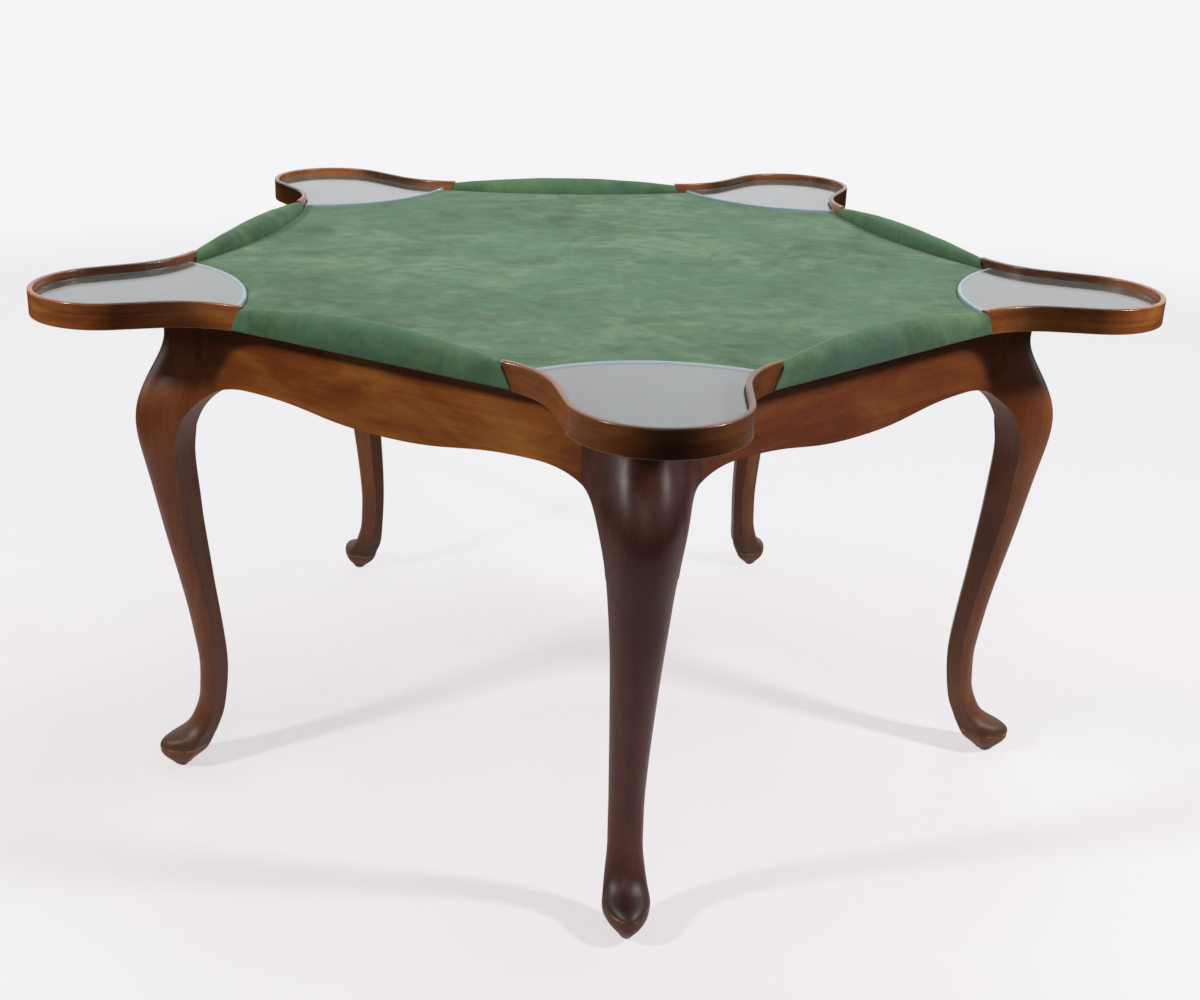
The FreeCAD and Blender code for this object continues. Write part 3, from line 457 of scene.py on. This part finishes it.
def seam_out(along, gap=0.0):
    """How far from the axis the seam between the field and an arm rest lies."""
    return SEAM_PLACE + SEAM_RADIUS - math.sqrt((SEAM_RADIUS + gap) ** 2 - along ** 2)


def spaced(first, last, count):
    """Values from first to last in even steps, count of them."""
    return [first + (last - first) * i / count for i in range(count + 1)]


def mesh_object(name, vertices, faces, smooth=True):
    """A new mesh piece, in the scene."""
    mesh = bpy.data.meshes.new(name)
    mesh.from_pydata([tuple(v) for v in vertices], [], faces)
    mesh.validate()
    mesh.polygons.foreach_set("use_smooth", [smooth] * len(mesh.polygons))
    piece = bpy.data.objects.new(name, mesh)
    bpy.context.scene.collection.objects.link(piece)
    return piece


# The hide of the playing field: a flat sheet whose edge rolls down to the board.
HIDE_ROLL = 0.0030
HIDE_SEAT = 0.0002
# Room between the hide and the arm rests and galleries, and at the glass's mouth.
HIDE_GAP = 0.0003
MOUTH_GAP = 0.0012
# Rows of points follow the edge this far in, and a grid fills the rest.
EDGE_ROWS = (0.0004, 0.0010, 0.0019, 0.0032, 0.0052, 0.0085)
GRID_PITCH = 0.012
GRID_START = 0.014
GRID_ACROSS = (-0.66, 0.66)
GRID_UP = (-0.60, 0.74)
# Rows of an even triangle grid lie closer than its points.
ROW_PITCH = 0.866
# The hide is uneven by 0.2 mm, in waves of some 70 mm, and calm within 30 mm of its edge.
UNEVENNESS = 0.00022
WAVES = 14
CALM_EDGE = 0.03


def field_outline():
    """The hide's outline on the plan, in the table's frame, with its inside to the left."""
    end_along = slant_along(BOARD_TOP) + HIDE_GAP
    hollow = HOLLOW + GALLERY + HIDE_GAP
    start = HOLLOW_START + math.asin((end_along - END_ALONG) / hollow)
    radius = GLASS_EDGE_RADIUS + MOUTH_GAP
    reach = GLASS_CENTRE - HOLLOW_CENTRE
    cosine = (hollow ** 2 + reach.length ** 2 - radius ** 2) / (2 * hollow * reach.length)
    end = math.atan2(reach.y, reach.x) - math.acos(cosine)
    edge = [NORMAL * seam_out(a, HIDE_GAP) + RUN * a for a in spaced(-end_along, end_along, 64)]
    side = [polar(HOLLOW_CENTRE, hollow, a) for a in spaced(start, end, 8)]
    tip = side[-1] - GLASS_CENTRE
    turn = math.atan2(tip.y, tip.x)
    mouth = [polar(GLASS_CENTRE, radius, a) for a in spaced(turn, 2 * math.pi - turn, 48)]
    back = [Vector((p.x, -p.y)) for p in reversed(side)]
    points = []
    for angle in reversed(CORNERS.values()):
        rotation = Matrix.Rotation(math.radians(angle), 2)
        points += [rotation @ p for p in edge + side + mouth[1:-1] + back]
    kept = [p for p, q in zip(points, points[1:] + points[:1]) if (p - q).length > 1e-4]
    return np.array([(p.x, p.y + AXIS_Y) for p in reversed(kept)])


def distances(points, outline):
    """Distance of each point from the outline, and whether it lies inside."""
    best = np.full(len(points), np.inf)
    inside = np.zeros(len(points), bool)
    for start, run in zip(outline, np.roll(outline, -1, axis=0) - outline):
        away = points - start
        share = np.clip(away @ run / (run @ run), 0, 1)
        best = np.minimum(best, np.linalg.norm(away - share[:, None] * run, axis=1))
        crosses = (start[1] > points[:, 1]) != (start[1] + run[1] > points[:, 1])
        if run[1]:
            inside ^= crosses & (points[:, 0] < start[0] + away[:, 1] * run[0] / run[1])
    return best, inside


def field_points(outline):
    """The hide's points on the plan, the outline's own first, and how far in each lies."""
    runs = np.roll(outline, -1, axis=0) - np.roll(outline, 1, axis=0)
    runs /= np.linalg.norm(runs, axis=1)[:, None]
    inward = np.stack([-runs[:, 1], runs[:, 0]], axis=1)
    xs, ys = np.meshgrid(np.arange(*GRID_ACROSS, GRID_PITCH),
                         np.arange(*GRID_UP, GRID_PITCH * ROW_PITCH))
    xs[::2] += GRID_PITCH / 2
    grid = np.stack([xs.ravel(), ys.ravel()], axis=1)
    points = [outline]
    depth = [np.zeros(len(outline))]
    # A row's points that come too near another part of the edge are left out.
    rows = [(outline + inward * step, 0.97 * step) for step in EDGE_ROWS]
    for row, least in rows + [(grid, GRID_START)]:
        gap, inside = distances(row, outline)
        kept = inside & (gap > least)
        points.append(row[kept])
        depth.append(gap[kept])
    return np.concatenate(points), np.concatenate(depth)


def make_field():
    """The hide, one layer of faces that goes over the rolled edge and down to the board."""
    outline = field_outline()
    flat, depth = field_points(outline)
    count = len(outline)
    result = geometry.delaunay_2d_cdt([Vector(p) for p in flat], [], [list(range(count))], 1, 1e-6)
    places, faces, sources = result[0], result[2], result[3]
    vertices = []
    for place, source in zip(places, sources):
        d = depth[source[0]]
        z = FIELD_TOP - HIDE_ROLL + math.sqrt(HIDE_ROLL ** 2 - max(HIDE_ROLL - d, 0) ** 2)
        calm = min(d / CALM_EDGE, 1.0)
        z += UNEVENNESS * calm * noise.noise(Vector((place.x * WAVES, place.y * WAVES, 3.0)))
        vertices.append((place.x, place.y, z))
    # The skirt goes on down from the rolled edge to the board.
    skirt = {source[0]: i for i, source in enumerate(sources) if source[0] < count}
    first = len(vertices)
    faces = [tuple(face) for face in faces]
    for i in range(count):
        x, y, _ = vertices[skirt[i]]
        vertices.append((x, y, BOARD_TOP + HIDE_SEAT))
        j = (i + 1) % count
        faces.append((skirt[i], first + i, first + j, skirt[j]))
    piece = mesh_object("field_hide", vertices, faces)
    tones = ("4A6C52", "6A8E6E", "8AAC8C", "629078")
    piece.data.materials.append(brushed_suede("suede_of_field_painted_light", tones, 0.0, painted_light_pool))
    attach(piece, "table")
    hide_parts("suede_field")


# Arm rests. A section lies in the upright plane across the side, as (out, height) pairs.
PAD_GAP = 0.0002
PAD_SEAT = 0.0004
SEAM_DROP = 0.001
# The shoulder stands out past the board. The crest stands over the galleries' top, and falls
# below it at both ends.
SHOULDER_OUT = 0.0063
SHOULDER_FALL = 0.0020
CREST_UP = 0.010
CREST_FALL = 0.013
# The cover's lip goes down in front of the board's edge, and is rounded under it.
LIP_OUT = 0.0038
LIP_UP = 0.0012
LIP_ROUND = 0.0020
LIP_INNER_ROUND = 0.0016
END_ROUND = 0.0008
# How far the filling pushes the cover out, at most.
SWELL = 0.0022
# The cover's dents: depths in metres, and waves in a metre.
DENTS = ((0.0007, 22.0), (0.0002, 60.0))
CALM_ROWS = 6
PAD_MIDDLE = Vector((0.535, 0, 0.715))


def pad_section(along):
    """The section of an arm rest at a place along its side."""
    share = (along / END_ALONG) ** 2
    seam_x = seam_out(along)
    seam_z = FIELD_TOP - SEAM_DROP
    shoulder = APOTHEM + SHOULDER_OUT - SHOULDER_FALL * share
    half = (shoulder - seam_x) / 2
    rise = TOP + CREST_UP - CREST_FALL * share - seam_z
    crest_x = seam_x + half
    crest_z = seam_z + rise
    radius = (half ** 2 + rise ** 2) / (2 * rise)
    turn = math.atan2(radius - rise, -half) % (2 * math.pi)
    seat = BOARD_TOP + PAD_SEAT
    past = max(abs(along) - END_ALONG, 0)
    board_out = APOTHEM + HOLLOW - math.sqrt((HOLLOW + GALLERY - PAD_SEAT) ** 2 - past ** 2)
    lip_x = APOTHEM + LIP_OUT
    under = BOARD_BOTTOM + LIP_UP
    low = under + LIP_ROUND
    side = crest_z - half
    points = [(seam_x, seat), (seam_x, (seat + seam_z) / 2)]
    points += [(crest_x + radius * math.cos(a), crest_z - radius + radius * math.sin(a))
               for a in spaced(turn, math.pi / 2, 9)]
    points += [(crest_x + half * math.cos(a), side + half * math.sin(a))
               for a in spaced(math.pi / 2, 0, 8)[1:]]
    points += [(shoulder + (lip_x - shoulder) * s, side + (low - side) * s)
               for s in spaced(0, 1, 5)[1:]]
    points += [(lip_x - LIP_ROUND, under), (board_out + LIP_INNER_ROUND, under),
               (board_out, under + LIP_INNER_ROUND), (board_out, seat)]
    points += [(board_out + (seam_x - board_out) * s, seat) for s in (0.33, 0.67)]
    return points


def pad_rows():
    """One arm rest in the side's frame, as rows of points, with slanted ends that round off."""
    ends = [-1, -0.999, -0.996, 0.996, 0.999, 1]
    rows = []
    for u in sorted(spaced(-0.985, 0.985, 72) + ends):
        row = []
        for i, (_, height) in enumerate(pad_section(u * END_ALONG)):
            along = u * (slant_along(height) - PAD_GAP)
            out, height = pad_section(along)[i]
            row.append(Vector((out, u * (slant_along(height) - PAD_GAP), height)))
        middle = sum(row, Vector()) / len(row)
        left = (1 - abs(u)) * END_ALONG
        inset = END_ROUND - math.sqrt(END_ROUND ** 2 - max(END_ROUND - left, 0) ** 2)
        for i, point in enumerate(row):
            inward = Vector((middle.x - point.x, 0, middle.z - point.z))
            row[i] = point + inward.normalized() * inset
        rows.append(row)
    return rows


def closed_faces(count, around):
    """Faces of a tube through count rows of points, with both of its ends closed."""
    faces = []
    for first in range(0, (count - 1) * around, around):
        for i in range(around):
            j = (i + 1) % around
            faces.append((first + i, first + j, first + around + j, first + around + i))
    last = (count - 1) * around
    faces.append(tuple(range(around)))
    faces.append(tuple(last + i for i in reversed(range(around))))
    return faces


def plumped(piece, held):
    """Blows the cover up a little by a cloth simulation, and returns its new points."""
    rest = [v.co.copy() for v in piece.data.vertices]
    group = piece.vertex_groups.new(name="held")
    group.add(held, 1.0, "REPLACE")
    cloth = piece.modifiers.new("cloth", "CLOTH")
    cloth.settings.quality = 6
    cloth.settings.mass = 0.2
    cloth.settings.tension_stiffness = 12
    cloth.settings.compression_stiffness = 12
    cloth.settings.bending_stiffness = 0.6
    cloth.settings.vertex_group_mass = "held"
    cloth.settings.use_pressure = True
    cloth.settings.uniform_pressure_force = 4
    cloth.settings.effector_weights.gravity = 0
    scene = bpy.context.scene
    for step in range(1, 21):
        scene.frame_set(step)
    shape = piece.evaluated_get(bpy.context.evaluated_depsgraph_get()).to_mesh()
    moved = []
    for old, new in zip(rest, shape.vertices):
        shift = new.co - old
        shift.y = 0
        if shift.length > SWELL:
            shift *= SWELL / shift.length
        moved.append(old + shift)
    piece.modifiers.remove(cloth)
    scene.frame_set(1)
    return moved


def make_pads():
    """The five arm rests, alike but for the dents in their covers."""
    rows = pad_rows()
    around = len(rows[0])
    faces = closed_faces(len(rows), around)
    points = [p for row in rows for p in row]
    trial = mesh_object("pad_trial", points, faces)
    # The cover is held where it meets the field and the board, and at both ends.
    inner = (0, 1, 2) + tuple(range(around - 6, around))
    held = [r * around + i for r in range(len(rows)) for i in inner]
    held += list(range(around)) + [(len(rows) - 1) * around + i for i in range(around)]
    points = plumped(trial, held)
    bpy.data.objects.remove(trial)
    # The pads' suede is the field's suede drawn darker: painted shade on their steep sides.
    cover = brushed_suede("suede_of_pads_painted_shade", ("4C6A4C", "608260", "779870", "54826E"), 2.6)
    for name, angle in SIDES.items():
        placed = []
        rotation = Matrix.Rotation(math.radians(angle), 3, "Z")
        for index, point in enumerate(points):
            r = index // around
            calm = min(r, len(rows) - 1 - r, CALM_ROWS) / CALM_ROWS
            place = rotation @ point
            # Only the part that shows is dented.
            if point.z > BOARD_TOP - 0.002 or point.x > APOTHEM:
                swell = sum(noise.noise(place * waves) * deep for deep, waves in DENTS)
                out = point - PAD_MIDDLE
                out.y = 0
                place = rotation @ (point + out.normalized() * swell * calm)
            placed.append(place + Vector((0, AXIS_Y, 0)))
        piece = mesh_object("arm_rest_" + name, placed, faces)
        piece.data.materials.append(cover)
        soft = piece.modifiers.new("soft", "SUBSURF")
        soft.levels = 1
        soft.render_levels = 1
        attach(piece, "table")
        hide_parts("arm_pad_" + name)


make_field()
make_pads()

# Stage, light and camera.
FLOOR_REACH = 30
WHITE = "F5F4F6"
# Each light's place, aim, width and depth, power in watts and colour.
LIGHTS = {
    "top_softbox": ((0.0, 1.3, 3.0), (0, 0.4, 0.7), (3.2, 2.4), 32, "FFFFFF"),
    "left_key": ((-2.65, -1.32, 2.22), (0, 0, 0.6), (0.24, 0.36), 47, "FFFAF2"),
    "right_key": ((2.15, -1.15, 2.14), (0, 0, 0.6), (0.24, 0.36), 44, "FFF8FC"),
    "front_fill": ((-0.3, -3.4, 2.8), (0, 0, 0.5), (1.6, 1.0), 11, "FFFFFF"),
}
CAMERA_PLACE = (-0.2512, -2.2890, 1.2745)
YAW = 0.0933
PITCH = 0.375
ROLL = -0.0296


def make_stage():
    """A white paper floor. Only the camera sees it white all over: the room is dimmer."""
    new, tree, here = material("paper_floor")
    reach = plan_reach(tree, here, (0, 0))
    along = node(tree, "SeparateXYZ", here).outputs["Y"]
    path = node(tree, "LightPath").outputs
    shown = path["Is Camera Ray"]
    # The legs' shadows show between and before the feet. Behind and far off, the glow hides them.
    far = node(tree, "MapRange", Value=reach, From_Min=1.0, From_Max=4.0)
    far = node(tree, "MapRange", Value=far, To_Min=0.55, To_Max=1.0)
    behind = node(tree, "MapRange", Value=along, From_Min=0.0, From_Max=0.8, To_Min=0.55, To_Max=0.9)
    glowing = node(tree, "Math", behind, far, operation="MAXIMUM")
    strength = node(tree, "MapRange", Value=glowing, From_Min=0.55, From_Max=0.9, To_Min=1.21,
                    To_Max=1.0)
    # The shadows are rosy: the glow is, and the light that falls on the paper makes up for it.
    # The paper's tone clouds over half a metre.
    mottle = node(tree, "TexNoise", Vector=here, Scale=2, Detail=2)
    rosy = node(tree, "ValToRGB", mottle, stops=[(0.3, "F6EEF0"), (0.7, "F9F2F4")])
    plain = node(tree, "MapRange", Value=glowing, From_Min=0.55, From_Max=0.9)
    paper = node(tree, "Mix", plain, rosy, WHITE, **MIXED)
    lit = node(tree, "Mix", plain, "E7F3F8", WHITE, **MIXED)
    dim = node(tree, "MapRange", Value=reach, From_Min=0.5, From_Max=1.1, To_Min=0.5, To_Max=0.04)
    diffuse = node(tree, "BsdfDiffuse", Color=node(tree, "Mix", shown, dim, lit, **MIXED))
    tint = node(tree, "Mix", shown, "EED4D2", paper, **MIXED)
    glow = node(tree, "Emission", Color=tint, Strength=strength)
    # Gloss shows the bright paper, as far as it reaches round the table.
    near = node(tree, "MapRange", Value=reach, From_Min=1.5, From_Max=2.1, To_Min=0.55, To_Max=0.0)
    gloss = node(tree, "Math", path["Is Glossy Ray"], near, operation="MULTIPLY")
    share = node(tree, "Math", shown, glowing, operation="MULTIPLY")
    share = node(tree, "Math", share, gloss, operation="MAXIMUM")
    node(tree, "OutputMaterial", Surface=node(tree, "MixShader", share, diffuse, glow))
    corners = [(x * FLOOR_REACH, y * FLOOR_REACH, 0) for x, y in ((-1, -1), (1, -1), (1, 1), (-1, 1))]
    floor = mesh_object("floor", corners, [(0, 1, 2, 3)], False)
    floor.data.materials.append(new)


def make_world():
    """White to the camera, and a white backdrop behind the table in glass and gloss."""
    world = bpy.data.worlds.new("studio")
    bpy.context.scene.world = world
    world.use_nodes = True
    tree = world.node_tree
    tree.nodes.clear()
    direction = node(tree, "TexCoord").outputs["Generated"]
    behind = node(tree, "SeparateXYZ", direction).outputs["Y"]
    room = node(tree, "MapRange", Value=behind, From_Min=0.1, From_Max=0.6)
    path = node(tree, "LightPath").outputs
    soft = node(tree, "Background", Color="F4F4F6", Strength=0.06)
    seen = node(tree, "Background", Color=node(tree, "Mix", room, "6C6A6C", "F4F4F6", **MIXED))
    plain = node(tree, "Background", Color=WHITE)
    mirror = node(tree, "Math", path["Is Glossy Ray"], path["Is Transmission Ray"],
                  operation="MAXIMUM")
    around = node(tree, "MixShader", mirror, soft, seen)
    node(tree, "OutputWorld", Surface=node(tree, "MixShader", path["Is Camera Ray"], around, plain))


def make_light(name, place, aim, size, power, colour):
    """A rectangular softbox, turned to what it lights."""
    data = bpy.data.lights.new(name, "AREA")
    data.color = linear(colour)[:3]
    data.shape = "RECTANGLE"
    data.size = size[0]
    data.size_y = size[1]
    data.energy = power
    lamp = bpy.data.objects.new(name, data)
    lamp.location = place
    lamp.rotation_euler = (Vector(aim) - Vector(place)).to_track_quat("-Z", "Y").to_euler()
    bpy.context.scene.collection.objects.link(lamp)


def make_camera():
    """The photograph's own view, as the table's five equal sectors give it."""
    data = bpy.data.cameras.new("camera")
    data.lens = 48.5
    data.sensor_width = 36.0
    data.shift_x = 0.027
    camera = bpy.data.objects.new("camera", data)
    bpy.context.scene.collection.objects.link(camera)
    bpy.context.scene.camera = camera
    ahead = Vector((math.sin(YAW) * math.cos(PITCH), math.cos(YAW) * math.cos(PITCH),
                    -math.sin(PITCH)))
    right = Vector((math.cos(YAW), -math.sin(YAW), 0))
    down = ahead.cross(right)
    across = right * math.cos(ROLL) + down * math.sin(ROLL)
    below = down * math.cos(ROLL) - right * math.sin(ROLL)
    axes = Matrix((across, -below, -ahead)).transposed().to_4x4()
    camera.matrix_world = Matrix.Translation(CAMERA_PLACE) @ axes


make_stage()
make_world()
for name, setting in LIGHTS.items():
    make_light(name, *setting)
make_camera()

bpy.context.scene.view_settings.view_transform = "Standard"
